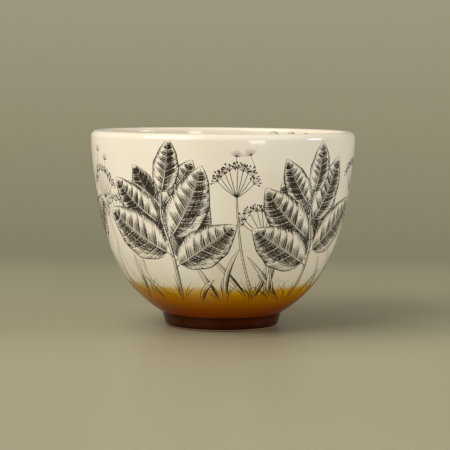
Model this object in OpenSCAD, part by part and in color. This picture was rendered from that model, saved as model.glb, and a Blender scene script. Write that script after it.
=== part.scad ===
// Footed pottery bowl: a thrown clay body on a turned foot ring, under cream, amber and brown glazes.
// Sizes are in millimetres. The origin is on the table at the middle of the foot, with Z up.

/* [Bowl] */
// Outside diameter at the lip
rim_d = 151.6; // [130:0.1:180]
// Height from the table to the top of the lip
height = 112.4; // [95:0.1:140]
// Thickness of the floor at its middle
floor_t = 7; // [5:0.1:10]
// Angle of the wall above level where it leaves the foot
spread_angle = 31; // [22:0.5:38]
// How far the wall keeps to that angle
spread = 33.7; // [28:0.1:38]
// Outward lean of the wall's outside where the shoulder begins
rim_lean = 7.4; // [5:0.1:9]
// How far the outside of the wall keeps to that lean
rise = 35; // [28:1:42]
// Outward lean of the wall's inside where it meets the lip
inner_lean = 4.4; // [1:0.1:8]
// How far the inside of the wall keeps to that lean
inner_rise = 54; // [44:1:62]

/* [Lip] */
// Radius of the shoulder, which turns the wall upright under the lip
shoulder_r = 134; // [100:1:170]
// Radius of the lip's outer edge
lip_outer_r = 3.7; // [2.8:0.1:4.6]
// Radius of the lip's inner edge
lip_inner_r = 2.4; // [1.5:0.1:3.2]

/* [Foot] */
// Diameter of the wall where it meets the foot
base_d = 69.6; // [60:0.2:78]
// Height of the foot, with the slip that joins it to the body
foot_h = 8.3; // [6.5:0.1:11]
// Step in from the wall to the foot
foot_step = 0.3; // [0.1:0.1:0.6]
// Taper of the foot toward the table
foot_taper = 15; // [5:1:18]
// Radius of the foot's outer edge on the table
foot_round = 3.6; // [3:0.1:4.2]
// Radius of the foot's inner edge on the table
foot_inner_round = 1.2; // [0.8:0.1:2]
// Width of the flat that the foot stands on
rest_w = 2.2; // [1.6:0.1:4]

/* [Glaze] */
// Thickness of each glaze coat
glaze_t = 0.5; // [0.3:0.05:0.6]
// Thickness of the slip between the foot ring and the body
slip_t = 0.6; // [0.4:0.1:1.2]
// Height of the line between the cream and the amber glaze
amber_h = 27.1; // [18:0.1:60]
// Height above the table where the foot's glaze stops
bare_h = 1.2; // [0.8:0.1:1.7]

/* [Hidden] */
// Smoothness of the preview
$fn = 144;
// Straight lengths that make up each curve
amber_n = 16;
cream_n = 40;
liner_n = 48;
shoulder_n = 10;
lip_n = 14;
foot_n = 6;

// Line of the foot's side, on the clay and on the glaze
foot_top_r = base_d / 2 - foot_step;
foot_clay_r = foot_top_r - glaze_t / cos(foot_taper);
foot_toe_r = foot_clay_r - foot_h * tan(foot_taper);
foot_mid_r = foot_toe_r - foot_round * (1 - sin(foot_taper)) / cos(foot_taper);
ring_top_h = foot_h - slip_t;
ring_top_r = foot_clay_r - slip_t * tan(foot_taper);
recess_r = foot_mid_r - rest_w - foot_inner_round;

// Where the foot's glaze stops on its rounded edge
bare_angle = asin(bare_h / foot_round - 1);
bevel_angle = glaze_t / foot_round * 180 / PI;

// Centres of the two round edges of the lip, one above the other, and of the shoulder under it
lip_r = rim_d / 2 - lip_outer_r;
lip_outer_mid = [lip_r, height - lip_outer_r];
lip_inner_mid = [lip_r, height - lip_inner_r];
shoulder_mid = [rim_d / 2 - shoulder_r, height - lip_outer_r];

// The way that a wall of some lean goes up, and the way that its outside faces
function lean_way(lean) = [sin(lean), cos(lean)];
function lean_side(lean) = [cos(lean), -sin(lean)];

// The outside of the wall, from the foot to the shoulder, in one sweep
wall_foot = [base_d / 2, foot_h];
wall_top = shoulder_mid + shoulder_r * lean_side(rim_lean);
wall_turn = wall_foot + spread * [cos(spread_angle), sin(spread_angle)];
outer_curve = [wall_foot, wall_turn, wall_top - rise * lean_way(rim_lean), wall_top];
clay_foot_r = base_d / 2 - glaze_t / sin(spread_angle);

// The inside of the wall, from the middle of the floor to the lip
floor_h = foot_h + floor_t;
inner_top = lip_inner_mid - lip_inner_r * lean_side(inner_lean);
inner_curve = [
    [0, floor_h],
    [wall_turn[0], floor_h],
    inner_top - inner_rise * lean_way(inner_lean),
    inner_top
];

// Points, directions and sides of a curve
function at(c, t) = pow(1 - t, 3) * c[0] + 3 * pow(1 - t, 2) * t * c[1] + 3 * (1 - t) * t * t * c[2] + pow(t, 3) * c[3];
function slope(c, t) = pow(1 - t, 2) * (c[1] - c[0]) + 2 * (1 - t) * t * (c[2] - c[1]) + t * t * (c[3] - c[2]);
function way(c, t) = slope(c, t) / norm(slope(c, t));
function right_side(v) = [v[1], -v[0]];
function left_side(v) = [-v[1], v[0]];
function reversed(list) = [for (i = [len(list) - 1 : -1 : 0]) list[i]];
function steps(a, b, n) = [for (i = [0 : n]) a + (b - a) * i / n];

// The step along the outside at which the wall reaches a height
function step_at(h, lo = 0, hi = 1, n = 30) =
    n == 0 ? (lo + hi) / 2 :
    at(outer_curve, (lo + hi) / 2)[1] < h ? step_at(h, (lo + hi) / 2, hi, n - 1) :
    step_at(h, lo, (lo + hi) / 2, n - 1);

amber_step = step_at(amber_h);
amber_steps = steps(0, amber_step, amber_n);
cream_steps = steps(amber_step, 1, cream_n);
liner_steps = [for (i = [0 : liner_n - 1]) i / liner_n];

// Points on the finished bowl, or at a depth under its surface
function outside(list, depth) =
    [for (t = list) at(outer_curve, t) - depth * right_side(way(outer_curve, t))];
function inside(depth) =
    [for (t = liner_steps) at(inner_curve, t) - depth * left_side(way(inner_curve, t))];
function round_edge(mid, r, a, b, n) =
    [for (i = [1 : n]) mid + r * [cos(a + (b - a) * i / n), sin(a + (b - a) * i / n)]];
function shoulder(depth) = round_edge(shoulder_mid, shoulder_r - depth, -rim_lean, 0, shoulder_n);
function lip_outside(depth) = round_edge(lip_outer_mid, lip_outer_r - depth, 0, 90, lip_n);
function lip_inside(depth) = round_edge(lip_inner_mid, lip_inner_r - depth, 90, 180 - inner_lean, lip_n);
function lip_crest(depth) = [lip_r, height - depth];

// Points on the foot's round edge, from its side down toward the table
function foot_edge(r, a, b) =
    [for (t = steps(a, b, foot_n)) [foot_mid_r, foot_round] + r * [cos(t), sin(t)]];

// The thrown wall and floor, one piece of clay
module clay_body() {
    color("tan")
        rotate_extrude()
            polygon(concat(
                [[0, foot_h], [clay_foot_r, foot_h]],
                outside(amber_steps, glaze_t),
                outside([for (i = [1 : cream_n]) cream_steps[i]], glaze_t),
                shoulder(glaze_t),
                lip_outside(glaze_t),
                lip_inside(glaze_t),
                reversed(inside(glaze_t))
            ));
}

// The turned ring that the bowl stands on
module foot_ring() {
    color("rosybrown")
        rotate_extrude()
            polygon(concat(
                [[recess_r, ring_top_h], [ring_top_r, ring_top_h]],
                foot_edge(foot_round, -foot_taper, -90),
                [for (t = steps(-90, -180, foot_n))
                    [recess_r + foot_inner_round, foot_inner_round] + foot_inner_round * [cos(t), sin(t)]]
            ));
}

// The coat of liquid clay that holds the ring to the body
module luting_slip() {
    color("burlywood")
        rotate_extrude()
            polygon([[recess_r, ring_top_h], [ring_top_r, ring_top_h], [foot_clay_r, foot_h], [recess_r, foot_h]]);
}

// Cream glaze over the inside, up to the top of the lip
module liner_glaze() {
    color("cornsilk")
        rotate_extrude()
            polygon(concat(
                [lip_crest(0)],
                lip_inside(0),
                reversed(inside(0)),
                inside(glaze_t),
                reversed(lip_inside(glaze_t)),
                [lip_crest(glaze_t)]
            ));
}

// Cream glaze over the outside, from the amber line to the top of the lip
module outer_glaze() {
    color("ivory")
        rotate_extrude()
            polygon(concat(
                outside(cream_steps, 0),
                shoulder(0),
                lip_outside(0),
                reversed(lip_outside(glaze_t)),
                reversed(shoulder(glaze_t)),
                reversed(outside(cream_steps, glaze_t))
            ));
}

// Amber glaze over the lower wall, from the foot to the amber line
module amber_glaze() {
    color("darkgoldenrod")
        rotate_extrude()
            polygon(concat(
                outside(amber_steps, 0),
                reversed(outside(amber_steps, glaze_t)),
                [[clay_foot_r, foot_h]]
            ));
}

// Brown glaze over the foot's side, which stops short of the table
module foot_glaze() {
    color("saddlebrown")
        rotate_extrude()
            polygon(concat(
                [[foot_clay_r, foot_h], [foot_top_r, foot_h]],
                foot_edge(foot_round + glaze_t, -foot_taper, bare_angle + bevel_angle),
                reversed(foot_edge(foot_round, -foot_taper, bare_angle))
            ));
}

// Brown glaze in the hollow under the floor and down the ring's inside
module recess_glaze() {
    color("sienna")
        rotate_extrude()
            polygon([
                [0, foot_h - glaze_t],
                [recess_r - glaze_t, foot_h - glaze_t],
                [recess_r - glaze_t, foot_inner_round + glaze_t],
                [recess_r, foot_inner_round],
                [recess_r, foot_h],
                [0, foot_h]
            ]);
}

clay_body();
foot_ring();
luting_slip();
liner_glaze();
outer_glaze();
amber_glaze();
foot_glaze();
recess_glaze();
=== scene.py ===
import math
import random

import bpy
import numpy as np
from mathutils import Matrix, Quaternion, Vector


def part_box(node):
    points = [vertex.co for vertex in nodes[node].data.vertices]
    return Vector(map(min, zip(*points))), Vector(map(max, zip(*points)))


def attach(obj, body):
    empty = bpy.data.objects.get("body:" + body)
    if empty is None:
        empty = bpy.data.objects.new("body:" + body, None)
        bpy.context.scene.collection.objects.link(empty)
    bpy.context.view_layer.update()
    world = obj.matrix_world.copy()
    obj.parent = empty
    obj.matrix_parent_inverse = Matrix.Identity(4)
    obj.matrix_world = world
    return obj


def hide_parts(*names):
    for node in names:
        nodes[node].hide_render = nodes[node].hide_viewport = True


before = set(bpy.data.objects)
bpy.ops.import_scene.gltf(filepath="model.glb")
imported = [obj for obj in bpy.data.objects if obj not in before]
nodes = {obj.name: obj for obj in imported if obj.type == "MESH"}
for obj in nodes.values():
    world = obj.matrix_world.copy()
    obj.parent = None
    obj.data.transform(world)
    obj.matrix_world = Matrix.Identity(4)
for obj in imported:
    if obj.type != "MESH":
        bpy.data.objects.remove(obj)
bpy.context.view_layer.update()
# A millimetre in metres, and a full turn in radians
MM = 0.001
TURN = 2 * math.pi


def corner(node, high):
    """The lowest or highest corner of a solid, in millimetres to a tenth."""
    return [round(c / MM, 1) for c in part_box(node)[high]]


# Sizes read from the solids, in millimetres
RIM_R = corner("outer_glaze", 1)[0]
HEIGHT = corner("outer_glaze", 1)[2]
AMBER_H = corner("outer_glaze", 0)[2]
FOOT_H = corner("amber_glaze", 0)[2]
RING_TOP_H = corner("foot_ring", 1)[2]

# The potter's curve and edges, as the solids have them
WALL_FOOT_R = 34.8
SPREAD_ANGLE = 31.0
SPREAD = 33.7
RIM_LEAN = 7.4
RISE = 35.0
INNER_LEAN = 4.4
INNER_RISE = 54.0
FLOOR_T = 7.0
SHOULDER_R = 134.0
LIP_OUTER_R = 3.7
LIP_INNER_R = 2.4
FOOT_STEP = 0.3
FOOT_TAPER = 15.0
FOOT_ROUND = 3.6
FOOT_INNER_ROUND = 1.2
REST_W = 2.2
GLAZE_T = 0.5
BARE_H = 1.2

# The rounded lower edge of the foot's coat, and the glaze that pools in the recess
EDGE_BULGE = 0.3
EDGE_RUN = 0.25
POOL_R = 1.3

# How finely the pieces are made: steps round the bowl, and points along each stretch of a section
SEGMENTS = 320
AMBER_POINTS = 36
CREAM_POINTS = 90
SHOULDER_POINTS = 20
LIP_OUTER_POINTS = 26
LIP_INNER_POINTS = 18
LINER_POINTS = 110
TOE_POINTS = 20
HEEL_POINTS = 10
COAT_POINTS = 22
COAT_EDGE_POINTS = 8
COAT_BACK_POINTS = 12
RECESS_POINTS = 12
# The side of a coat that lies on clay keeps one point in this many
HIDDEN_STRIDE = 4
# Where a piece's face map holds what shows and what lies on clay: its start and its height
SHOWN_BAND = (0.0, 0.9)
HIDDEN_BAND = (0.92, 0.07)


# The section of the bowl

def way(degrees):
    """The unit direction at an angle in the section: 0 is outward and 90 is up."""
    return np.array([math.cos(math.radians(degrees)), math.sin(math.radians(degrees))])


def arc(middle, radius, start, end, count):
    """Points on an arc from one angle to another, in degrees."""
    return np.array([np.array(middle) + radius * way(a) for a in np.linspace(start, end, count)])


def swept(c, t):
    """Points at the steps t, from 0 to 1, on a curve from c[0] to c[3] that c[1] and c[2] steer."""
    t = np.asarray(t)[:, None]
    return (1 - t) ** 3 * c[0] + 3 * (1 - t) ** 2 * t * c[1] + 3 * (1 - t) * t ** 2 * c[2] + t ** 3 * c[3]


def right_sides(path):
    """Unit normals on the right of a path."""
    slope = np.gradient(path, axis=0)
    slope /= np.linalg.norm(slope, axis=1)[:, None]
    return np.stack([slope[:, 1], -slope[:, 0]], 1)


def left_sides(path):
    """Unit normals on the left of a path."""
    return -right_sides(path)


def bowl_path():
    """The finished surface: up the outside from the foot, over the lip and down to the floor's middle."""
    lip_r = RIM_R - LIP_OUTER_R
    outer_mid = np.array([lip_r, HEIGHT - LIP_OUTER_R])
    inner_mid = np.array([lip_r, HEIGHT - LIP_INNER_R])
    shoulder_mid = np.array([RIM_R - SHOULDER_R, HEIGHT - LIP_OUTER_R])
    foot = np.array([WALL_FOOT_R, FOOT_H])
    turn = foot + SPREAD * way(SPREAD_ANGLE)
    top = shoulder_mid + SHOULDER_R * way(-RIM_LEAN)
    outer = [foot, turn, top - RISE * way(90 - RIM_LEAN), top]
    inner_top = inner_mid - LIP_INNER_R * way(-INNER_LEAN)
    inner_turn = inner_top - INNER_RISE * way(90 - INNER_LEAN)
    floor_h = FOOT_H + FLOOR_T
    inner = [np.array([0, floor_h]), np.array([turn[0], floor_h]), inner_turn, inner_top]
    fine = np.linspace(0, 1, 4001)
    amber_t = float(np.interp(AMBER_H, swept(outer, fine)[:, 1], fine))
    amber = swept(outer, np.linspace(0, amber_t, AMBER_POINTS))
    cream = swept(outer, np.linspace(amber_t, 1, CREAM_POINTS))[1:]
    shoulder = arc(shoulder_mid, SHOULDER_R, -RIM_LEAN, 0, SHOULDER_POINTS)[1:]
    lip_out = arc(outer_mid, LIP_OUTER_R, 0, 90, LIP_OUTER_POINTS)[1:]
    lip_in = arc(inner_mid, LIP_INNER_R, 90, 180 - INNER_LEAN, LIP_INNER_POINTS)[1:]
    liner = swept(inner, np.linspace(1, 0, LINER_POINTS))[1:]
    path = np.concatenate([amber, cream, shoulder, lip_out, lip_in, liner])
    amber_i = len(amber) - 1
    crest_i = amber_i + len(cream) + len(shoulder) + len(lip_out)
    sides = right_sides(path)
    sides[crest_i] = sides[-1] = (0, 1)
    return path, sides, amber_i, crest_i


BOWL, BOWL_SIDES, AMBER_I, CREST_I = bowl_path()


class WallFace:
    """One side of the wall laid flat: the distance along it gives its radius, height and normal."""

    def __init__(self, first, last):
        self.section = BOWL[first:last + 1]
        self.sides = BOWL_SIDES[first:last + 1]
        steps = np.linalg.norm(np.diff(self.section, axis=0), axis=1)
        self.along = np.concatenate([[0], np.cumsum(steps)])

    def radius(self, s):
        """The wall's radius at distances along it."""
        return np.interp(s, self.along, self.section[:, 0])

    def along_at_height(self, z):
        """The distance along the wall to a height."""
        return float(np.interp(z, self.section[:, 1], self.along))

    def read(self, table, s):
        """Points or normals of the section at distances along the wall."""
        return np.stack([np.interp(s, self.along, table[:, 0]), np.interp(s, self.along, table[:, 1])], -1)

    def points(self, angle, s, lift):
        """Places in space and the normals there, from angles round the bowl and distances along the wall."""
        flat, side = self.read(self.section, s), self.read(self.sides, s)
        side = side / np.linalg.norm(side, axis=-1)[..., None]
        flat = flat + lift * side
        sin, cos = np.sin(angle), np.cos(angle)
        place = np.stack([flat[..., 0] * sin, -flat[..., 0] * cos, flat[..., 1]], -1) * MM
        normal = np.stack([side[..., 0] * sin, -side[..., 0] * cos, side[..., 1]], -1)
        return place, normal


OUTSIDE = WallFace(0, CREST_I)
INSIDE = WallFace(CREST_I, len(BOWL) - 1)


# Turned pieces

def new_piece(name, vertices, faces, loop_normals, loop_map, material):
    """A piece with its own normals and face map, which rides with the bowl."""
    mesh = bpy.data.meshes.new(name)
    mesh.from_pydata(vertices, [], faces)
    layer = mesh.uv_layers.new(name="face_map")
    layer.data.foreach_set("uv", np.asarray(loop_map, np.float32).ravel())
    mesh.polygons.foreach_set("use_smooth", [True] * len(mesh.polygons))
    mesh.normals_split_custom_set(loop_normals)
    mesh.materials.append(material)
    piece = bpy.data.objects.new(name, mesh)
    bpy.context.scene.collection.objects.link(piece)
    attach(piece, "root")
    return piece


def turned_piece(name, runs, shown, material):
    """Turns a section about the bowl's axis.

    The section is given as runs, each smooth in itself, with the clay on their left.
    """
    angles = np.arange(SEGMENTS) * TURN / SEGMENTS
    round_x, round_y = np.sin(angles), -np.cos(angles)
    vertices, rings = [], {}

    def ring(point):
        key = (round(float(point[0]), 5), round(float(point[1]), 5))
        if key not in rings:
            rings[key] = len(vertices)
            if key[0] == 0:
                vertices.append((0.0, 0.0, point[1] * MM))
            else:
                r = point[0] * MM
                vertices.extend((r * x, r * y, point[1] * MM) for x, y in zip(round_x, round_y))
        return rings[key], key[0] == 0

    lengths = [np.linalg.norm(np.diff(run, axis=0), axis=1) for run, _ in runs]
    whole = {True: sum(lengths[k].sum() for k in range(len(runs)) if k in shown),
             False: sum(lengths[k].sum() for k in range(len(runs)) if k not in shown)}
    band = {True: SHOWN_BAND, False: HIDDEN_BAND}
    done = {True: 0.0, False: 0.0}
    faces, loop_normals, loop_map = [], [], []
    for k, (run, sides) in enumerate(runs):
        sides = right_sides(run) if sides is None else sides
        seen = k in shown
        base, room = band[seen]
        for i in range(len(run) - 1):
            (a, a_pole), (b, b_pole) = ring(run[i]), ring(run[i + 1])
            low = base + room * done[seen] / whole[seen]
            done[seen] += lengths[k][i]
            high = base + room * done[seen] / whole[seen]
            for j in range(SEGMENTS):
                n = (j + 1) % SEGMENTS
                loop = []
                if a_pole:
                    loop.append((a, j, j + 0.5, low, sides[i]))
                else:
                    loop += [(a + j, j, j, low, sides[i]), (a + n, n, j + 1, low, sides[i])]
                if b_pole:
                    loop.append((b, j, j + 0.5, high, sides[i + 1]))
                else:
                    loop += [(b + n, n, j + 1, high, sides[i + 1]), (b + j, j, j, high, sides[i + 1])]
                faces.append([v for v, *_ in loop])
                for _, at, column, v, side in loop:
                    loop_normals.append((side[0] * round_x[at], side[0] * round_y[at], side[1]))
                    loop_map.append((column / SEGMENTS, v))
    return new_piece(name, vertices, faces, loop_normals, loop_map, material)


def wall_coat(name, first, last, material):
    """A glaze coat over a stretch of the bowl's path, with its hidden side on the clay."""
    out, sides = BOWL[first:last + 1], BOWL_SIDES[first:last + 1]
    clay = (out - GLAZE_T * sides)[::-1]
    keep = sorted(set(range(0, len(clay), HIDDEN_STRIDE)) | {len(clay) - 1})
    clay = clay[keep]
    runs = [(out, sides)]
    if out[-1][0] > 0:
        runs.append((np.array([out[-1], clay[0]]), None))
    runs.append((clay, None))
    if first == 0:
        heel = np.array([WALL_FOOT_R - GLAZE_T / math.sin(math.radians(SPREAD_ANGLE)), FOOT_H])
        runs += [(np.array([clay[-1], heel]), None), (np.array([heel, out[0]]), None)]
    else:
        runs.append((np.array([clay[-1], out[0]]), None))
    return turned_piece(name, runs, {0}, material)


def joined(*parts):
    """One path out of points and paths."""
    return np.concatenate([np.atleast_2d(p) for p in parts])


# Places on the foot, as the solids have them
TAPER_ANGLE = math.radians(FOOT_TAPER)
TAPER = math.tan(TAPER_ANGLE)
FOOT_TOP_R = WALL_FOOT_R - FOOT_STEP
FOOT_CLAY_R = FOOT_TOP_R - GLAZE_T / math.cos(TAPER_ANGLE)
FOOT_TOE_R = FOOT_CLAY_R - FOOT_H * TAPER
FOOT_MID_R = FOOT_TOE_R - FOOT_ROUND * (1 - math.sin(TAPER_ANGLE)) / math.cos(TAPER_ANGLE)
FOOT_MID = (FOOT_MID_R, FOOT_ROUND)
RECESS_R = FOOT_MID_R - REST_W - FOOT_INNER_ROUND
BARE_ANGLE = math.degrees(math.asin(BARE_H / FOOT_ROUND - 1))
BEVEL_ANGLE = math.degrees(GLAZE_T / FOOT_ROUND)


def foot_ring_piece(material):
    """The bare clay ring that the bowl stands on."""
    rest = np.array([[RECESS_R + FOOT_INNER_ROUND, 0], [FOOT_MID_R, 0]])
    toe = arc(FOOT_MID, FOOT_ROUND, -90, -FOOT_TAPER, TOE_POINTS)
    side = joined(toe[-1], (FOOT_CLAY_R - (FOOT_H - RING_TOP_H) * TAPER, RING_TOP_H))
    top = joined(side[-1], (RECESS_R, RING_TOP_H))
    inner = joined(top[-1], (RECESS_R, FOOT_INNER_ROUND))
    heel_mid = (RECESS_R + FOOT_INNER_ROUND, FOOT_INNER_ROUND)
    heel = arc(heel_mid, FOOT_INNER_ROUND, 180, 270, HEEL_POINTS)
    runs = [(rest, None), (toe, None), (side, None), (top, None), (inner, None), (heel, None)]
    return turned_piece("bare_foot_ring", runs, {0, 1, 5}, material)


def foot_coat(material):
    """The brown coat on the foot's side, with a rounded edge where it stops above the table."""
    clay = arc(FOOT_MID, FOOT_ROUND, -FOOT_TAPER, BARE_ANGLE, COAT_BACK_POINTS)
    out = arc(FOOT_MID, FOOT_ROUND + GLAZE_T, BARE_ANGLE + BEVEL_ANGLE, -FOOT_TAPER, COAT_POINTS)
    bulge = clay[-1] + EDGE_BULGE * way(BARE_ANGLE)
    run = out[0] - EDGE_RUN * way(BARE_ANGLE + 90)
    edge = swept([clay[-1], bulge, run, out[0]], np.linspace(0, 1, COAT_EDGE_POINTS))
    shelf = np.array([FOOT_TOP_R, FOOT_H])
    side = joined(out[-1], [out[-1] * (1 - t) + shelf * t for t in (0.33, 0.67, 1.0)])
    top = joined(side[-1], (FOOT_CLAY_R, FOOT_H))
    back = joined(top[-1], clay[0])
    runs = [(edge, None), (out, None), (side, None), (top, None), (back, None), (clay, None)]
    return turned_piece("foot_coat", runs, {0, 1, 2}, material)


def recess_coat(material):
    """The brown coat in the hollow under the floor, which pools where the ring meets it."""
    ceiling_h = FOOT_H - GLAZE_T
    wall_r = RECESS_R - GLAZE_T
    ceiling = np.array([[r, ceiling_h] for r in np.linspace(0, wall_r - POOL_R, RECESS_POINTS)])
    pool = arc((wall_r - POOL_R, ceiling_h - POOL_R), POOL_R, 90, 0, RECESS_POINTS)
    wall = joined(pool[-1], (wall_r, FOOT_INNER_ROUND + GLAZE_T))
    edge = joined(wall[-1], (RECESS_R, FOOT_INNER_ROUND))
    back = joined(edge[-1], (RECESS_R, FOOT_H))
    top = joined(back[-1], (0, FOOT_H))
    face_down = np.concatenate([ceiling, pool[1:], wall[1:]])
    runs = [(face_down, None), (edge, None), (back, None), (top, None)]
    return turned_piece("recess_coat", runs, {0, 1}, material)


# Glazes, clay and ink

def shader_node(tree, kind, inputs=(), **settings):
    """Adds a node. Its inputs are given by name or number, as a value or as the socket that feeds them."""
    node = tree.nodes.new(kind)
    for name, value in settings.items():
        setattr(node, name, value)
    for key, value in dict(inputs).items():
        if isinstance(value, bpy.types.NodeSocket):
            tree.links.new(value, node.inputs[key])
        else:
            node.inputs[key].default_value = value
    return node


def place_in(tree):
    """Where each point of a piece is, in metres."""
    return tree.nodes.new("ShaderNodeTexCoord").outputs["Object"]


def part_of(tree, vector, axis):
    """One of a vector's three parts."""
    return shader_node(tree, "ShaderNodeSeparateXYZ", {"Vector": vector}).outputs[axis]


def combined(tree, kind, one, other):
    """One value out of two, by ADD, MULTIPLY or MAXIMUM."""
    return shader_node(tree, "ShaderNodeMath", {0: one, 1: other}, operation=kind).outputs[0]


def noise(tree, place, scale, detail=2.0, rough=0.5):
    """Soft random values, at a scale in repeats to the metre."""
    inputs = {"Vector": place, "Scale": scale, "Detail": detail, "Roughness": rough}
    return shader_node(tree, "ShaderNodeTexNoise", inputs).outputs["Fac"]


def sum_of(tree, value, times, plus):
    """A value times one number, plus another."""
    inputs = {0: value, 1: times, 2: plus}
    return shader_node(tree, "ShaderNodeMath", inputs, operation="MULTIPLY_ADD").outputs[0]


def spread_to(tree, value, low, high, to_low, to_high, smooth=True):
    """Spreads a range of values over another range, and stops at its ends."""
    inputs = {"Value": value, "From Min": low, "From Max": high, "To Min": to_low, "To Max": to_high}
    kind = "SMOOTHSTEP" if smooth else "LINEAR"
    return shader_node(tree, "ShaderNodeMapRange", inputs, interpolation_type=kind).outputs["Result"]


def mixed(tree, factor, one, other, kind="MIX"):
    """Mixes two colours, the second by the factor."""
    inputs = {0: factor, 6: one, 7: other}
    return shader_node(tree, "ShaderNodeMix", inputs, data_type="RGBA", blend_type=kind).outputs[2]


def graded(tree, value, stops):
    """A colour that runs through the stops, from 0 to 1."""
    node = shader_node(tree, "ShaderNodeValToRGB", {"Fac": value})
    band = node.color_ramp
    while len(band.elements) < len(stops):
        band.elements.new(0.5)
    for element, (position, colour) in zip(band.elements, stops):
        element.position = position
        element.color = (*colour, 1)
    return node.outputs["Color"]


def rgba(r, g, b):
    """A colour with nothing see-through in it."""
    return (r, g, b, 1.0)


def node_group(name, takes, gives):
    """A new shader node group with named sockets, each a Color or a Float."""
    tree = bpy.data.node_groups.new(name, "ShaderNodeTree")
    for sockets, way_in in ((takes, "INPUT"), (gives, "OUTPUT")):
        for socket, kind in sockets.items():
            tree.interface.new_socket(socket, in_out=way_in, socket_type="NodeSocket" + kind)
    return tree


def placed_group(tree, group, values):
    """Places a node group in a material with the material's own values, and gives its outputs."""
    return shader_node(tree, "ShaderNodeGroup", values, node_tree=group).outputs


# The range that most of a noise's values lie in
NOISE_SPAN = (0.3, 0.7)

# Patterns in the glazes and the clay, in repeats to the metre
DRIFT_SCALE = 16.0
DIMPLE_SCALE = 110.0
SKIN_SCALE = 750.0
SPECK_SCALE = 210.0
LINE_SCALE = 22.0
MIST_SCALE = 900.0
RUN_SCALE = 140.0
WEAR_SCALE = 420.0
GRAIN_SCALE = 1500.0
PATCH_SCALE = 120.0

# Iron specks: their colour, how far each reaches in its cell, and the few cells that have one
IRON = (0.16, 0.085, 0.03)
SPECK_REACH = (0.05, 0.13)
SPECK_CELLS = (0.955, 0.97)


def glaze_skin_group():
    """What every fired glaze here has: drift in thickness, a faintly uneven skin and a few iron specks."""
    takes = {"Tone": "Color", "Drift": "Float", "Dullness": "Float", "Specks": "Float"}
    gives = {"Tone": "Color", "Roughness": "Float", "Height": "Float"}
    tree = node_group("glaze_skin", takes, gives)
    given = tree.nodes.new("NodeGroupInput").outputs
    place = place_in(tree)
    slow = noise(tree, place, DRIFT_SCALE, 3.0)
    dimples = noise(tree, place, DIMPLE_SCALE)
    skin = noise(tree, place, SKIN_SCALE, 1.0)
    drift = combined(tree, "MULTIPLY", spread_to(tree, slow, *NOISE_SPAN, -1.0, 1.0), given["Drift"])
    richer = sum_of(tree, drift, 1.2, 1.0)
    darker = sum_of(tree, drift, -0.5, 1.0)
    shade = shader_node(tree, "ShaderNodeHueSaturation",
                        {"Saturation": richer, "Value": darker, "Color": given["Tone"]}).outputs["Color"]
    cells = shader_node(tree, "ShaderNodeTexVoronoi", {"Vector": place, "Scale": SPECK_SCALE}).outputs
    near = spread_to(tree, cells["Distance"], *SPECK_REACH, 1.0, 0.0)
    chosen = shader_node(tree, "ShaderNodeSeparateColor", {"Color": cells["Color"]}).outputs[0]
    some = spread_to(tree, chosen, *SPECK_CELLS, 0.0, 1.0)
    speck = combined(tree, "MULTIPLY", combined(tree, "MULTIPLY", near, some), given["Specks"])
    tone = mixed(tree, speck, shade, rgba(*IRON))
    rough = combined(tree, "ADD", sum_of(tree, dimples, 0.06, -0.03), given["Dullness"])
    height = sum_of(tree, slow, 1.6, sum_of(tree, dimples, 0.5, sum_of(tree, skin, 0.06, 0.0)))
    shader_node(tree, "NodeGroupOutput", {"Tone": tone, "Roughness": rough, "Height": height})
    return tree


GLAZE_SKIN = glaze_skin_group()


def new_material(name):
    """A material with one shader in it."""
    material = bpy.data.materials.new(name)
    material.use_nodes = True
    tree = material.node_tree
    tree.nodes.clear()
    shader = tree.nodes.new("ShaderNodeBsdfPrincipled")
    output = tree.nodes.new("ShaderNodeOutputMaterial")
    tree.links.new(shader.outputs["BSDF"], output.inputs["Surface"])
    return material, tree, shader


# The depth that a full bump stands for, in metres
GLAZE_RELIEF = 0.0002
CLAY_RELIEF = 0.0003


def fired_glaze(tree, shader, tone, drift, dullness, specks, bump=0.3, shine=0.5):
    """Finishes a glaze: its tone goes through the shared skin into the shader."""
    values = {"Tone": tone, "Drift": drift, "Dullness": dullness, "Specks": specks}
    skin = placed_group(tree, GLAZE_SKIN, values)
    relief = {"Height": skin["Height"], "Strength": bump, "Distance": GLAZE_RELIEF}
    uneven = shader_node(tree, "ShaderNodeBump", relief)
    tree.links.new(skin["Tone"], shader.inputs["Base Color"])
    tree.links.new(skin["Roughness"], shader.inputs["Roughness"])
    tree.links.new(uneven.outputs["Normal"], shader.inputs["Normal"])
    shader.inputs["Specular IOR Level"].default_value = shine


# Tones of the glazes. Where one changes with height, 0 is its lower end and 1 its upper end
CREAM = (0.842, 0.76, 0.615)
CREAM_ABOVE_LINE = (0.825, 0.73, 0.535)
LINER = ((0.0, (0.79, 0.70, 0.49)), (0.18, (0.82, 0.74, 0.54)), (1.0, CREAM))
AMBER = ((0.0, (0.252, 0.046, 0.001)), (0.14, (0.262, 0.053, 0.001)), (0.3, (0.292, 0.076, 0.0015)),
         (0.64, (0.44, 0.172, 0.002)), (0.79, (0.55, 0.26, 0.012)), (0.87, (0.62, 0.36, 0.05)),
         (1.0, (0.68, 0.44, 0.11)))
# The foot's brown by height: its dark bands under the wall and at the lower edge are partly gathered glaze,
# partly painted shade
BROWN_WITH_PAINTED_SHADE = ((0.13, (0.013, 0.0035, 0.0012)), (0.3, (0.03, 0.007, 0.0015)), (0.45, (0.062, 0.0115, 0.002)),
         (0.74, (0.06, 0.0115, 0.002)), (0.87, (0.033, 0.0065, 0.0015)), (1.0, (0.04, 0.008, 0.0015)))
BROWN_RUNS = (0.022, 0.005, 0.0015)

# Tones of the clay's grit and of the ink: full, worn thin, and in the amber
CLAY_GRIT = (0.14, 0.07, 0.04)
INK_FULL = (0.013, 0.008, 0.0038)
INK_WORN = (0.045, 0.029, 0.014)
INK_IN_AMBER = (0.03, 0.011, 0.002)

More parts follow.
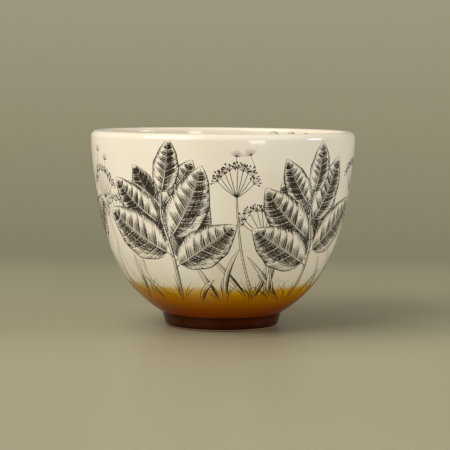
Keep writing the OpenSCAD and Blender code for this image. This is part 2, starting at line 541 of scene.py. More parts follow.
# How the glazes came out of the kiln
GLAZE_DRIFT = 0.07
GLAZE_DULLNESS = 0.09
GLAZE_SPECKS = 0.8
CREAM_SHINE = 0.5
AMBER_SHINE = 0.03
BROWN_DRIFT = 0.15
BROWN_DULLNESS = 0.17
BROWN_BUMP = 0.4
BROWN_SHINE = 0.1

# The sprayed line, in millimetres: its wander, its mist, how it fades below and above, and its haze
LINE_WANDER = 2.2
LINE_MIST = 1.2
LINE_BELOW = 1.6
LINE_ABOVE = 1.8
HAZE_REACH = 9.0


def height_up(tree, low, high):
    """How far up a point is between two heights in millimetres, from 0 to 1."""
    return spread_to(tree, part_of(tree, place_in(tree), "Z"), low * MM, high * MM, 0.0, 1.0, smooth=False)


def sprayed_line_group():
    """The amber, deeper toward the foot, and the soft line where it was sprayed over what is above it."""
    tree = node_group("sprayed_line", {"Above": "Color"}, {"Tone": "Color", "Below": "Float"})
    given = tree.nodes.new("NodeGroupInput").outputs
    place = place_in(tree)
    wander = sum_of(tree, noise(tree, place, LINE_SCALE), LINE_WANDER * MM, -LINE_WANDER / 2 * MM)
    mist = sum_of(tree, noise(tree, place, MIST_SCALE, 2.0, 0.6), LINE_MIST * MM, -LINE_MIST / 2 * MM)
    level = combined(tree, "ADD", combined(tree, "ADD", wander, mist), part_of(tree, place, "Z"))
    below = spread_to(tree, level, (AMBER_H - LINE_BELOW) * MM, (AMBER_H + LINE_ABOVE) * MM, 1.0, 0.0)
    haze = spread_to(tree, level, AMBER_H * MM, (AMBER_H + HAZE_REACH) * MM, 1.0, 0.0)
    veil = [over / under for over, under in zip(CREAM_ABOVE_LINE, CREAM)]
    veiled = mixed(tree, haze, given["Above"], rgba(*veil), "MULTIPLY")
    amber = graded(tree, height_up(tree, FOOT_H, AMBER_H), AMBER)
    shader_node(tree, "NodeGroupOutput", {"Tone": mixed(tree, below, veiled, amber), "Below": below})
    return tree


SPRAYED_LINE = sprayed_line_group()


def clay_grain_group():
    """Fired clay: patches of two tones, dark grit, and a dry sandy face."""
    takes = {"Light": "Color", "Dark": "Color"}
    gives = {"Tone": "Color", "Roughness": "Float", "Height": "Float"}
    tree = node_group("clay_grain", takes, gives)
    given = tree.nodes.new("NodeGroupInput").outputs
    place = place_in(tree)
    grain = noise(tree, place, GRAIN_SCALE, 4.0, 0.65)
    patch = spread_to(tree, noise(tree, place, PATCH_SCALE, 3.0), *NOISE_SPAN, 0.0, 1.0)
    grit = spread_to(tree, grain, 0.55, 0.75, 0.0, 0.35)
    tone = mixed(tree, grit, mixed(tree, patch, given["Light"], given["Dark"]), rgba(*CLAY_GRIT))
    rough = sum_of(tree, grain, 0.2, 0.62)
    shader_node(tree, "NodeGroupOutput", {"Tone": tone, "Roughness": rough, "Height": grain})
    return tree


CLAY_GRAIN = clay_grain_group()


def wall_glaze(name, shine):
    """Cream glaze that turns, along a soft sprayed line, to an amber that deepens toward the foot."""
    material, tree, shader = new_material(name)
    wall = placed_group(tree, SPRAYED_LINE, {"Above": rgba(*CREAM)})
    fired_glaze(tree, shader, wall["Tone"], GLAZE_DRIFT, GLAZE_DULLNESS, GLAZE_SPECKS, shine=shine)
    return material


def liner_glaze():
    """Cream glaze over the inside, a little deeper in tone where it pools on the floor."""
    material, tree, shader = new_material("liner_glaze")
    pooled = graded(tree, height_up(tree, FOOT_H + FLOOR_T, HEIGHT), LINER)
    fired_glaze(tree, shader, pooled, GLAZE_DRIFT, GLAZE_DULLNESS, GLAZE_SPECKS)
    return material


def brown_glaze():
    """Runny brown glaze, redder in the middle, darker under the wall and at its lower edge: partly glaze that
    gathers there, partly painted shade.
    """
    material, tree, shader = new_material("brown_glaze")
    # Painted shade, with some gathered glaze: darker just under the wall and toward the lower edge
    bands_with_painted_shade = graded(tree, height_up(tree, 0.0, FOOT_H), BROWN_WITH_PAINTED_SHADE)
    runny = spread_to(tree, noise(tree, place_in(tree), RUN_SCALE, 3.0), 0.35, 0.7, 0.0, 0.5)
    tone = mixed(tree, runny, bands_with_painted_shade, rgba(*BROWN_RUNS))
    fired_glaze(tree, shader, tone, BROWN_DRIFT, BROWN_DULLNESS, 0.0, BROWN_BUMP, BROWN_SHINE)
    return material


def bare_clay(name, light, dark):
    """Clay with no glaze on it, in two tones."""
    material, tree, shader = new_material(name)
    clay = placed_group(tree, CLAY_GRAIN, {"Light": rgba(*light), "Dark": rgba(*dark)})
    relief = {"Height": clay["Height"], "Strength": 0.5, "Distance": CLAY_RELIEF}
    sandy = shader_node(tree, "ShaderNodeBump", relief)
    tree.links.new(clay["Tone"], shader.inputs["Base Color"])
    tree.links.new(clay["Roughness"], shader.inputs["Roughness"])
    tree.links.new(sandy.outputs["Normal"], shader.inputs["Normal"])
    return material


def print_ink():
    """Black print fired into the glaze: thin and brown in places, and stained by the amber below the line."""
    material, tree, shader = new_material("print_ink")
    worn = spread_to(tree, noise(tree, place_in(tree), WEAR_SCALE, 3.0, 0.6), 0.35, 0.75, 0.0, 1.0)
    black = mixed(tree, worn, rgba(*INK_FULL), rgba(*INK_WORN))
    wall = placed_group(tree, SPRAYED_LINE, {"Above": black})
    stained = mixed(tree, wall["Below"], black, rgba(*INK_IN_AMBER))
    fired_glaze(tree, shader, stained, GLAZE_DRIFT, GLAZE_DULLNESS, 0.0)
    return material


# The meadow print

# The print is laid out flat as if the wall had this radius, in millimetres
FLAT_R = 70.0
# Pen strokes, in millimetres: edges and crest over the glaze, least width, and the step they are cut by
INK_EDGE = -0.012
INK_CREST = 0.03
FINEST = 0.03
CUT_STEP = 0.4

# A leaf: powers that shape its base and tip, their value at its widest, its ripple, veins and hatch spacing
LEAF_BASE = 0.62
LEAF_TIP = 0.86
LEAF_WIDEST = 0.366
LEAF_RIPPLE = 0.035
LEAF_VEINS = 7
HATCH_STEP = 0.58

# Leaves of a sprig, in front of its stem and behind it: how far up the stem each starts, and its length
FRONT_LEAVES = ((0.35, 43), (0.47, 46), (0.6, 43), (0.74, 37), (0.87, 31))
BACK_LEAVES = ((0.4, 38), (0.53, 40), (0.66, 36), (0.8, 30))

# The repeats round the bowl. In each, a tall and a low seed head stand at these shares of its width
REPEATS = 5
TALL_HEAD = 0.47
LOW_HEAD = 0.6
# Grass in each repeat: its place in millimetres from the sprig, its length, heading and bend
GRASS = ((-24, 27, 82, 24), (-14, 24, 102, 46), (10, 23, 76, -40), (19, 28, 96, 22),
         (27, 40, 84, -34), (38, 38, 102, 34), (50, 46, 80, -30), (57, 32, 98, 26))

# The sprays inside: how many there are, and how far they lie below the crest of the lip
SPRAYS = 3
SPRAY_DROP = 4.3


def in_outline(outline, points):
    """Which points lie inside a closed outline."""
    x, y = points[:, 0][:, None], points[:, 1][:, None]
    px, py = outline[:, 0], outline[:, 1]
    qx, qy = np.roll(px, -1), np.roll(py, -1)
    rise = np.where(qy == py, 1e-9, qy - py)
    crossed = ((py > y) != (qy > y)) & (x < (qx - px) * (y - py) / rise + px)
    return crossed.sum(1) % 2 == 1


class Print:
    """Pen strokes on one side of the wall.

    What is drawn first lies in front, and later strokes stop at its outline.
    """

    def __init__(self, face, level):
        self.face = face
        self.level = level
        self.fronts = []
        self.strokes = {}

    def keep(self, unit, wall, widths):
        """Files a stroke under its repeat."""
        self.strokes.setdefault(unit["repeat"], []).append((wall, widths))

    def on_wall(self, unit, points):
        """Angles round the bowl and distances along the wall, for points in the unit's flat millimetres."""
        points = np.asarray(points, float)
        s = self.level + points[:, 1]
        return np.stack([unit["turn"] + points[:, 0] / self.face.radius(s), s], 1)

    def hide_behind(self, unit, outline):
        """Makes later strokes stop at an outline."""
        flat = self.on_wall(unit, outline) * (FLAT_R, 1)
        self.fronts.append((flat.min(0), flat.max(0), flat))

    def stroke(self, unit, points, widths):
        """Adds a stroke through points given in the unit's own flat millimetres."""
        wall = self.on_wall(unit, points)
        widths = np.maximum(np.broadcast_to(np.asarray(widths, float), len(wall)), FINEST)
        flat = wall * (FLAT_R, 1)
        near = []
        for low, high, outline in self.fronts:
            shift = round((flat[0, 0] - low[0]) / (TURN * FLAT_R)) * TURN * FLAT_R
            moved = flat - (shift, 0)
            if (moved.min(0) <= high).all() and (moved.max(0) >= low).all():
                near.append((shift, outline))
        if not near:
            self.keep(unit, wall, widths)
            return
        steps = np.linalg.norm(np.diff(flat, axis=0), axis=1)
        along = np.concatenate([[0], np.cumsum(steps)])
        fine = np.linspace(0, along[-1], max(len(flat), int(along[-1] / CUT_STEP) + 2))
        fine_wall = np.stack([np.interp(fine, along, wall[:, 0]), np.interp(fine, along, wall[:, 1])], 1)
        hidden = np.zeros(len(fine), bool)
        for shift, outline in near:
            hidden |= in_outline(outline, fine_wall * (FLAT_R, 1) - (shift, 0))
        if not hidden.any():
            self.keep(unit, wall, widths)
            return
        edges = np.flatnonzero(np.diff(np.concatenate([[True], hidden, [True]])))
        for start, end in zip(edges[::2], edges[1::2] - 1):
            if end > start:
                share = (end - start) / (len(fine) - 1)
                part = np.linspace(fine[start], fine[end], max(2, math.ceil(share * len(wall)) + 1))
                cut = np.stack([np.interp(part, along, wall[:, 0]), np.interp(part, along, wall[:, 1])], 1)
                self.keep(unit, cut, np.interp(part, along, widths))

    def piece(self, name, repeat, material):
        """Turns the strokes of one repeat into a mesh of fine raised lines, each closed."""
        vertices, normals, faces, places = [], [], [], []
        count = 0
        for wall, widths in self.strokes[repeat]:
            s = wall[:, 1]
            r = self.face.radius(s)
            flat = np.stack([wall[:, 0] * r, s], 1)
            slope = np.gradient(flat, axis=0)
            slope /= np.maximum(np.linalg.norm(slope, axis=1), 1e-9)[:, None]
            left = np.stack([-slope[:, 1] / r, slope[:, 0]], 1) * (widths / 2)[:, None]
            rows = np.stack([wall + left, wall, wall - left], 1)
            lift = np.array([INK_EDGE, INK_CREST, INK_EDGE])[None, :, None]
            at, normal = self.face.points(rows[..., 0], rows[..., 1], lift)
            vertices.append(at.reshape(-1, 3))
            normals.append(normal.reshape(-1, 3))
            places.append(rows.reshape(-1, 2))
            n = len(wall)
            for i in range(n - 1):
                a, b = count + 3 * i, count + 3 * i + 3
                faces += [(a + 1, b + 1, b, a), (a + 2, b + 2, b + 1, a + 1), (a, b, b + 2, a + 2)]
            end = count + 3 * n - 3
            faces += [(count + 2, count + 1, count), (end, end + 1, end + 2)]
            count += 3 * n
        vertices, normals, places = (np.concatenate(x) for x in (vertices, normals, places))
        low, high = places.min(0), places.max(0)
        places = 0.01 + 0.98 * (places - low) / (high - low)
        corners = [v for face in faces for v in face]
        return new_piece(name, vertices.tolist(), faces, normals[corners].tolist(), places[corners], material)


def tapered(count, wide, start=0.35, end=0.15, peak=0.4):
    """Widths of a pen stroke that swells to its peak and thins to its ends."""
    t = np.linspace(0, 1, count)
    rise = start + (1 - start) * np.sin(np.clip(t / peak, 0, 1) * math.pi / 2)
    fall = end + (1 - end) * np.cos(np.clip((t - peak) / (1 - peak), 0, 1) * math.pi / 2)
    return wide * np.minimum(rise, fall)


def bent_path(start, heading, length, bend, count):
    """A path that leaves a point at a heading and turns by the bend, both in degrees."""
    t = np.linspace(0, 1, count)
    turned = np.radians(heading + bend * t)
    step = length / (count - 1)
    x = np.concatenate([[0], np.cumsum(np.cos((turned[:-1] + turned[1:]) / 2))]) * step
    y = np.concatenate([[0], np.cumsum(np.sin((turned[:-1] + turned[1:]) / 2))]) * step
    return np.stack([start[0] + x, start[1] + y], 1)


class LeafForm:
    """An elliptic leaf on a bent rib: places in it are given along the rib, 0 to 1, and across, -1 to 1."""

    def __init__(self, base, heading, length, width, bend, rng):
        count = 41
        self.rib = bent_path(base, heading, length, bend, count)
        self.sides = left_sides(self.rib)
        self.u = np.linspace(0, 1, count)
        half = width / 2 * (self.u ** LEAF_BASE * (1 - self.u) ** LEAF_TIP / LEAF_WIDEST)
        ripple = rng.uniform(0, TURN)
        self.half = {1: half * (1 + LEAF_RIPPLE * np.sin(self.u * 21 + ripple)),
                     -1: half * (1 + LEAF_RIPPLE * np.sin(self.u * 19 + ripple + 2))}

    def read(self, table, u):
        """Points of the rib, or its sides, at shares of its length."""
        return np.stack([np.interp(u, self.u, table[:, k]) for k in (0, 1)], -1)

    def at(self, u, v):
        """Points of the leaf at places along the rib and across."""
        u, v = np.broadcast_arrays(np.asarray(u, float), np.asarray(v, float))
        half = np.where(v >= 0, np.interp(u, self.u, self.half[1]), np.interp(u, self.u, self.half[-1]))
        return self.read(self.rib, u) + self.read(self.sides, u) * (v * half)[:, None]


def hatch_leaf(ink, unit, leaf, edge, length, dark, behind, rng):
    """Hatches one half of a leaf, dark along each vein and thinner toward the next one."""
    start = np.linspace(0.0, 0.92, LEAF_VEINS + 1)
    for low, high in zip(start[:-1], start[1:]):
        lines = max(5, round((high - low) * length / HATCH_STEP))
        for i in range(lines):
            q = (i + 0.5 + rng.uniform(-0.25, 0.25)) / lines
            foot = low + (high - low) * (0.06 + 0.94 * q)
            lean = (0.27 * (1 - foot) + 0.02) * min(1.0, 0.05 + 3.4 * foot)
            if behind:
                tone = 0.9 + 0.1 * (1 - q)
            elif dark:
                tone = 0.6 + 0.4 * (1 - q)
            else:
                tone = 0.22 + 0.66 * (1 - q) ** 1.4
            reach = min(0.96, (0.24 + 0.72 * tone) * rng.uniform(0.85, 1.12))
            wide = (0.28 + (0.56 if dark else 0.44) * tone) * rng.uniform(0.82, 1.18)
            v = np.linspace(0.05, reach, 5)
            ink.stroke(unit, leaf.at(foot + lean * v ** 1.25, edge * v), tapered(5, wide, 1.0, 0.25, 0.3))
            if reach < 0.88:
                inward = rng.uniform(0.1, 0.26) * (0.7 + 0.8 * tone)
                v = np.linspace(0.98, 0.98 - inward, 4)
                tick = leaf.at(foot + lean * v ** 1.25, edge * v)
                ink.stroke(unit, tick, tapered(4, 0.44, 1.0, 0.2, 0.1))


def shade_leaf(ink, unit, leaf, edge, length, behind, rng):
    """Loose strokes along the dark half of a leaf, over its hatching."""
    for _ in range(int(length * (1.6 if behind else 0.8))):
        first = rng.uniform(0.05, 0.6)
        u = np.linspace(first, first + rng.uniform(0.12, 0.3), 6)
        v = rng.uniform(0.1, 0.85 if behind else 0.6) + 0.1 * np.linspace(0, 1, 6)
        ink.stroke(unit, leaf.at(u, edge * np.minimum(v, 0.95)), tapered(6, 0.38, 0.4, 0.2, 0.5))


def draw_leaf(ink, unit, base, heading, length, width, bend, dark_side, rng, behind=False):
    """A leaf with a pale rib and veins, hatched over, with one half in shade."""
    leaf = LeafForm(base, heading, length, width, bend, rng)
    count = 25
    u = np.linspace(0, 1, count)
    edges = {1: leaf.at(u, np.ones(count)), -1: leaf.at(u, -np.ones(count))}
    for edge, line in edges.items():
        ink.stroke(unit, line, tapered(count, 0.95 if edge == dark_side else 0.55, 0.6, 0.4))
    gap = (0.3 if behind else 0.42) * (1 - 0.85 * u)
    rib = leaf.at(u, np.zeros(count))
    sides = leaf.read(leaf.sides, u)
    for edge in edges:
        wide = 0.46 if edge == dark_side else 0.34
        line = rib + edge * sides * gap[:, None]
        ink.stroke(unit, line[:-1], tapered(count - 1, wide, 0.9, 0.5))
    for edge in edges:
        dark = behind or edge == dark_side
        hatch_leaf(ink, unit, leaf, edge, length, dark, behind, rng)
        if dark:
            shade_leaf(ink, unit, leaf, edge, length, behind, rng)
    ink.hide_behind(unit, np.concatenate([edges[1], edges[-1][::-1]]))


def draw_small_leaf(ink, unit, base, heading, length, width, bend, rng):
    """A small leaf in a light hand: two edges, a rib, and a few strokes of shade on its lower half."""
    leaf = LeafForm(base, heading, length, width, bend, rng)
    count = 13
    u = np.linspace(0, 1, count)
    upper = leaf.at(u, np.ones(count))
    lower = leaf.at(u, -np.ones(count))
    rib = leaf.at(u, np.zeros(count))[:-2]
    ink.stroke(unit, upper, tapered(count, 0.3, 0.6, 0.4))
    ink.stroke(unit, lower, tapered(count, 0.45, 0.6, 0.4))
    ink.stroke(unit, rib, tapered(len(rib), 0.28, 0.9, 0.4))
    for foot in np.linspace(0.08, 0.76, 8):
        v = np.linspace(0.06, rng.uniform(0.5, 0.85), 4)
        ink.stroke(unit, leaf.at(foot + 0.2 * (1 - foot) * v, -v), tapered(4, 0.28, 1.0, 0.3, 0.2))
    ink.hide_behind(unit, np.concatenate([upper, lower[::-1]]))


def draw_stem(ink, unit, path, wide_low, wide_high):
    """A stem drawn as two lines, with shading along one of them where it is thick."""
    count = len(path)
    half = left_sides(path) * np.linspace(wide_low, wide_high, count)[:, None] / 2
    fade_in = np.clip(np.linspace(0.2, 6, count), 0, 1)
    ink.stroke(unit, path + half, np.linspace(0.55, 0.4, count) * fade_in)
    ink.stroke(unit, path - half, np.linspace(0.85, 0.5, count) * fade_in)
    if wide_low > 1.2:
        ink.stroke(unit, path - half * 0.4, np.linspace(0.6, 0.25, count))
        ink.stroke(unit, (path + half * 0.2)[:count // 2], tapered(count // 2, 0.3, 0.8, 0.2))
    ink.hide_behind(unit, np.concatenate([path + half, (path - half)[::-1]]))


def draw_sprig(ink, unit, rng):
    """A leafy stem from the amber up: leaves on alternate sides, one at its tip, and darker ones behind."""
    lean = rng.uniform(-3, 3)
    low = bent_path((0, -9), 78 + lean, 46, 28, 26)
    high = bent_path(low[-1], 106 + lean, 21, -30, 12)
    stem = np.concatenate([low, high[1:]])
    tip_length = rng.uniform(28, 30)
    tip_width = rng.uniform(14, 15.5)
    draw_leaf(ink, unit, stem[-1], 74 + lean, tip_length, tip_width, rng.uniform(4, 18), -1, rng)
    hand = rng.choice((1, -1))

    def side_leaf(mark, out, turn, size, bend, behind):
        i = int(mark * (len(stem) - 1))
        slope = stem[i + 1] - stem[i - 1]
        along = math.degrees(math.atan2(slope[1], slope[0]))
        stalk = bent_path(stem[i], along + out * 34, 4.2, out * 22, 6)
        heading = along + out * (turn + rng.uniform(-5, 5))
        size *= rng.uniform(0.94, 1.05)
        width = size * rng.uniform(0.48, 0.55)
        dark_side = 1 if math.cos(math.radians(heading)) < 0 else -1
        draw_leaf(ink, unit, stalk[-1], heading, size, width, out * bend, dark_side, rng, behind)
        ink.stroke(unit, stalk, tapered(6, 0.75, 0.9, 0.6, 0.2))

    for k, (mark, size) in enumerate(FRONT_LEAVES):
        bend = rng.uniform(-12, 4) if k < 2 else -rng.uniform(6, 24)
        side_leaf(mark, hand * (1 if k % 2 else -1), 60 - 5 * k, size, bend, False)
    draw_stem(ink, unit, stem, 2.1, 0.9)
    for k, (mark, size) in enumerate(BACK_LEAVES):
        side_leaf(mark, hand * (1 if k % 2 else -1), 27 - 2 * k, size, rng.uniform(-6, 12), True)


def draw_seed_head(ink, unit, base_x, tall, lean, rng, rays=9):
    """A tall stalk with a flat head of rays, each ending in a small spray of seeds."""
    stalk = bent_path((base_x, -8), 90 + lean, tall, -lean * 1.6, 24)
    way_up = 90 - lean * 0.6
    seeds = 7
    for k in range(rays):
        fan = (k + 0.5) / rays * 2 - 1
        heading = way_up - fan * 70 + rng.uniform(-3, 3)
        ray = bent_path(stalk[-1], heading, 15.5 - 3 * fan * fan + rng.uniform(-1, 1), fan * 22, 7)
        for j in range(seeds):
            turn = (j + 0.5) / seeds * 2 - 1
            out = way_up - fan * 40 - turn * 84 + rng.uniform(-8, 8)
            spoke = bent_path(ray[-1], out, rng.uniform(2.2, 3.4), 0, 3)
            ink.stroke(unit, spoke, (0.4, 0.34, 0.3))
            seed = bent_path(spoke[-1], out, rng.uniform(1.1, 1.5), 0, 4)
            ink.stroke(unit, seed, (0.3, rng.uniform(1.05, 1.4), 1.1, 0.25))
        ink.stroke(unit, ray, tapered(7, 0.6, 1.0, 0.8, 0.1))
    draw_stem(ink, unit, stalk, 1.15, 0.7)


def draw_grass(ink, unit, base_x, length, heading, bend, wide, rng):
    """A grass blade: two edges that meet at the tip, a rib, and shading along its turned side."""
    count = 26
    form = bent_path((base_x, -8 + rng.uniform(-3, 1)), heading, length, bend, count)
    t = np.linspace(0, 1, count)[:, None]
    half = left_sides(form) * (wide / 2 * np.sin(math.pi * (0.12 + 0.88 * t)) ** 0.8)
    left, right = form + half, form - half
    ink.stroke(unit, left, tapered(count, 0.5, 0.15, 0.4))
    ink.stroke(unit, right, tapered(count, 0.75, 0.15, 0.4))
    ink.stroke(unit, form[:-3], tapered(count - 3, 0.36, 0.2, 0.3))
    for shift in (0.3, 0.55, 0.78):
        a = rng.randint(0, 4)
        b = rng.randint(15, 22)
        ink.stroke(unit, (form - half * shift)[a:b], tapered(b - a, 0.44, 0.5, 0.2))
    ink.hide_behind(unit, np.concatenate([left, right[::-1]]))


def draw_tuft(ink, unit, base_x, rng):
    """Short grass round the bottom of a stem, in quick single strokes."""
    for k in range(7):
        fan = (k + rng.uniform(-0.3, 0.3)) / 3 - 1
        start = (base_x + fan * 3.5 + rng.uniform(-1, 1), -7 + rng.uniform(-2.5, 2))
        blade = bent_path(start, 90 - fan * 24, rng.uniform(9, 17), -fan * 30, 9)
        ink.stroke(unit, blade, tapered(9, rng.uniform(0.45, 0.7), 0.2, 0.15, 0.35))


def draw_floating_seed(ink, unit, at, heading, rng):
    """A seed adrift under a tuft of fine hairs."""
    hang = bent_path(at, heading, 5.5, rng.uniform(-14, 14), 5)
    ink.stroke(unit, hang, (0.36, 0.34, 0.32, 0.3, 0.3))
    ink.stroke(unit, bent_path(at, heading + 180, 2.0, 0, 4), (0.3, 0.95, 0.8, 0.2))
    for k in range(9):
        fan = k / 4 - 1
        hair = bent_path(hang[-1], heading - fan * 78, 3.9 + rng.uniform(-0.5, 0.4), fan * 16, 4)
        ink.stroke(unit, hair, (0.28, 0.28, 0.24, 0.2))


def meadow_print(material):
    """Leafy sprigs, seed heads and grass all round the outside, one piece for each of the repeats."""
    ink = Print(OUTSIDE, OUTSIDE.along_at_height(AMBER_H))
    room = FLAT_R * TURN / REPEATS
    units = [{"turn": (k - 0.36) * TURN / REPEATS, "repeat": k, "rng": random.Random(410 + k)}
             for k in range(REPEATS)]
    for unit in units:
        for base_x in (0, room * TALL_HEAD, room * LOW_HEAD, -22, 24):
            draw_tuft(ink, unit, base_x, unit["rng"])
    for unit in units:
        draw_sprig(ink, unit, unit["rng"])
    for unit in units:
        rng = unit["rng"]
        base_x = room * TALL_HEAD + rng.uniform(-2, 2)
        draw_seed_head(ink, unit, base_x, 62 + rng.uniform(-4, 3), rng.uniform(2, 8), rng)
        draw_seed_head(ink, unit, room * LOW_HEAD, 40 + rng.uniform(-3, 4), rng.uniform(-14, -8), rng, 8)
        for _ in range(2):
            at = (room * rng.uniform(0.36, 0.64), rng.uniform(64, 76))
            draw_floating_seed(ink, unit, at, rng.uniform(50, 130), rng)
    for unit in units:
        rng = unit["rng"]
        for base_x, length, heading, bend in GRASS:
            base_x += rng.uniform(-2, 2)
            length *= rng.uniform(0.85, 1.1)
            draw_grass(ink, unit, base_x, length, heading, bend, rng.uniform(2.4, 3.4), rng)
    return [ink.piece("meadow_print_%d" % (k + 1), k, material) for k in range(REPEATS)]


def rim_print(material):
    """Small sprays that lie along the inside, a little below the lip."""
    ink = Print(INSIDE, SPRAY_DROP)
    for k in range(SPRAYS):
        rng = random.Random(77 + k)
        unit = {"turn": math.radians(128 + 120 * k), "repeat": 0}
        first = bent_path((0, 2.5), -9, 28, 12, 15)
        second = bent_path((27.9, 0.9), 3, 24, 24, 13)
        spray = np.concatenate([first, second[1:]])
        for i in range(2, 26, 3):
            slope = spray[i + 1] - spray[i - 1]
            along = math.degrees(math.atan2(slope[1], slope[0]))
            size = rng.uniform(7.5, 9.5)
            draw_small_leaf(ink, unit, spray[i], along + rng.uniform(34, 52), size, size * 0.42, -16, rng)
            if i % 2 == 0:
                size = rng.uniform(5.0, 6.2)
                draw_small_leaf(ink, unit, spray[i], along - rng.uniform(18, 26), size, size * 0.36, 16, rng)
        ink.stroke(unit, spray, np.linspace(0.5, 0.28, len(spray)))
    return ink.piece("rim_print", 0, material)


# The bowl

cream_glaze = wall_glaze("cream_glaze", CREAM_SHINE)
amber_glaze = wall_glaze("amber_glaze", AMBER_SHINE)
liner = liner_glaze()
foot_brown = brown_glaze()
foot_clay = bare_clay("foot_clay", (0.75, 0.385, 0.21), (0.64, 0.315, 0.165))
body_clay = bare_clay("body_clay", (0.52, 0.36, 0.25), (0.42, 0.27, 0.18))
slip_clay = bare_clay("slip_clay", (0.46, 0.30, 0.20), (0.36, 0.21, 0.13))
ink_black = print_ink()

for piece, node, slot in (
        (wall_coat("outer_coat", AMBER_I, CREST_I, cream_glaze), "outer_glaze", "cream_glaze"),
        (wall_coat("amber_coat", 0, AMBER_I, amber_glaze), "amber_glaze", "amber_glaze"),
        (wall_coat("liner_coat", CREST_I, len(BOWL) - 1, liner), "liner_glaze", "cream_glaze"),
        (foot_coat(foot_brown), "foot_glaze", "brown_glaze"),
        (recess_coat(foot_brown), "recess_glaze", "brown_glaze"),
        (foot_ring_piece(foot_clay), "foot_ring", "clay")):
    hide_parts(node)
for piece in [*meadow_print(ink_black), rim_print(ink_black)]:
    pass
for node, material in (("clay_body", body_clay), ("luting_slip", slip_clay)):
    nodes[node].data.materials.clear()
    nodes[node].data.materials.append(material)


# Floor, light and camera

# The floor, in metres: half width, where its tone changes with painted light falloff, and where it fades far
# off and at the back
FLOOR_REACH = 6.0
FLOOR_SPAN = (-0.13, 0.34)
FLOOR_FAR = (0.45, 0.8)
FLOOR_BACK = (0.26, 0.42)
FLOOR_ROUGHNESS = 0.37
FLOOR_MOTTLE = 0.97
# Painted light falloff: the floor's tone is lighter toward the front and darker toward the back
FLOOR_TONES_WITH_PAINTED_FALLOFF = ((0.0, (0.384, 0.355, 0.23)), (0.21, (0.343, 0.317, 0.205)),
               (0.4, (0.328, 0.303, 0.194)), (1.0, (0.292, 0.27, 0.173)))
# The backdrop and the sky, by how far up one looks: 0 is level and 1 is straight up
BACKDROP_SPAN = (-0.105, 0.045)
BACKDROP = ((0.0, (0.222, 0.205, 0.13)), (0.5, (0.28, 0.26, 0.168)), (1.0, (0.333, 0.308, 0.209)))
SKY_SPAN = (-0.1, 1.0)
SKY = ((0.0, (1.032, 1.066, 1.147)), (0.3, (0.466, 0.482, 0.518)), (0.5, (0.133, 0.138, 0.148)),
       (0.7, (0.067, 0.069, 0.074)), (1.0, (0.053, 0.055, 0.059)))
# What the lamps are turned to, in metres, and their colours
BOWL_MIDDLE = Vector((0.0, 0.0, 0.06))
WARM_WHITE = (1.0, 0.965, 0.91)
PLAIN_WHITE = (1.0, 0.99, 0.97)


def floor_piece():
    """A wide pale floor that fades into the backdrop. It is clear from below, and open inside the foot."""
    far = FLOOR_REACH
    mesh = bpy.data.meshes.new("floor")
    mesh.from_pydata([(-far, -far, 0), (far, -far, 0), (far, far, 0), (-far, far, 0)], [], [(0, 1, 2, 3)])
    material, tree, shader = new_material("floor_paper")
    place = place_in(tree)
    back = part_of(tree, place, "Y")
    # The floor's tone carries painted light falloff, lighter toward the front and darker toward the back
    tone = graded(tree, spread_to(tree, back, *FLOOR_SPAN, 0.0, 1.0, smooth=False), FLOOR_TONES_WITH_PAINTED_FALLOFF)
    mottle = spread_to(tree, noise(tree, place, 3.0, 3.0), *NOISE_SPAN, FLOOR_MOTTLE, 1.0)
    tree.links.new(mixed(tree, 1.0, tone, mottle, "MULTIPLY"), shader.inputs["Base Color"])
    shader.inputs["Roughness"].default_value = FLOOR_ROUGHNESS
    away = shader_node(tree, "ShaderNodeVectorMath", {0: place}, operation="LENGTH").outputs["Value"]
    gone = tree.nodes.new("ShaderNodeNewGeometry").outputs["Backfacing"]
    for fade in (spread_to(tree, away, *FLOOR_FAR, 0.0, 1.0),
                 spread_to(tree, back, *FLOOR_BACK, 0.0, 1.0),
                 spread_to(tree, away, RECESS_R * MM, (RECESS_R + REST_W) * MM, 1.0, 0.0)):
        gone = combined(tree, "MAXIMUM", gone, fade)
    clear = tree.nodes.new("ShaderNodeBsdfTransparent")
    both = shader_node(tree, "ShaderNodeMixShader",
                       {0: gone, 1: shader.outputs["BSDF"], 2: clear.outputs["BSDF"]})
    output = next(n for n in tree.nodes if n.type == "OUTPUT_MATERIAL")
    tree.links.new(both.outputs["Shader"], output.inputs["Surface"])
    mesh.materials.append(material)
    floor = bpy.data.objects.new("floor", mesh)
    bpy.context.scene.collection.objects.link(floor)


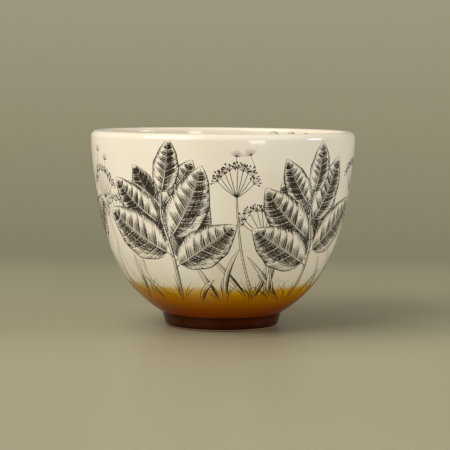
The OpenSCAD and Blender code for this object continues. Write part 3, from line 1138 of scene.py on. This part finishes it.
def studio_world():
    """Soft light from all round, most of it from low down, and a plain backdrop for the eye and the gloss."""
    world = bpy.data.worlds.new("studio")
    bpy.context.scene.world = world
    world.use_nodes = True
    tree = world.node_tree
    tree.nodes.clear()
    ray = tree.nodes.new("ShaderNodeLightPath").outputs
    seen = combined(tree, "MAXIMUM", ray["Is Camera Ray"], ray["Is Glossy Ray"])
    seen = combined(tree, "MAXIMUM", seen, ray["Is Transmission Ray"])
    up = part_of(tree, tree.nodes.new("ShaderNodeTexCoord").outputs["Generated"], "Z")
    sky = graded(tree, spread_to(tree, up, *SKY_SPAN, 0.0, 1.0, smooth=False), SKY)
    light = shader_node(tree, "ShaderNodeBackground", {"Color": sky, "Strength": 1.0})
    shade = graded(tree, spread_to(tree, up, *BACKDROP_SPAN, 0.0, 1.0, smooth=False), BACKDROP)
    wall = shader_node(tree, "ShaderNodeBackground", {"Color": shade, "Strength": 1.0})
    both = shader_node(tree, "ShaderNodeMixShader",
                       {0: seen, 1: light.outputs["Background"], 2: wall.outputs["Background"]})
    shader_node(tree, "ShaderNodeOutputWorld", {"Surface": both.outputs["Shader"]})


def lamp(name, place, size, watts, colour):
    """A soft oblong lamp, turned to the middle of the bowl."""
    light = bpy.data.lights.new(name, "AREA")
    light.shape = "RECTANGLE"
    light.size, light.size_y = size
    light.energy = watts
    light.color = colour
    lamp_object = bpy.data.objects.new(name, light)
    lamp_object.location = place
    lamp_object.rotation_euler = (BOWL_MIDDLE - Vector(place)).to_track_quat("-Z", "Y").to_euler()
    bpy.context.scene.collection.objects.link(lamp_object)


def camera():
    """The photograph's view: from the front, a little above the lip."""
    distance = 0.994
    elevation = math.radians(4.652)
    roll = 0.0084
    target = Vector((0.00152, 0.0, 0.05786))
    view = bpy.data.cameras.new("camera")
    view.sensor_width = 36.0
    view.lens = 137.6
    view_object = bpy.data.objects.new("camera", view)
    away = Vector((0.0, -math.cos(elevation), math.sin(elevation)))
    view_object.location = target + distance * away
    turn = (-away).to_track_quat("-Z", "Y") @ Quaternion((0, 0, 1), roll)
    view_object.rotation_euler = turn.to_euler()
    bpy.context.scene.collection.objects.link(view_object)
    bpy.context.scene.camera = view_object


floor_piece()
studio_world()
lamp("key", (-1.45, -1.12, 1.65), (1.9, 1.5), 55.5, WARM_WHITE)
lamp("top", (-0.7, 0.2, 2.0), (1.2, 1.0), 9.0, PLAIN_WHITE)
lamp("lip_glint", (0.564, -1.04, 0.193), (0.27, 0.28), 1.75, PLAIN_WHITE)
lamp("side_glint", (0.945, -0.09, 0.37), (0.27, 0.14), 2.6, PLAIN_WHITE)
camera()
bpy.context.scene.view_settings.view_transform = "Standard"
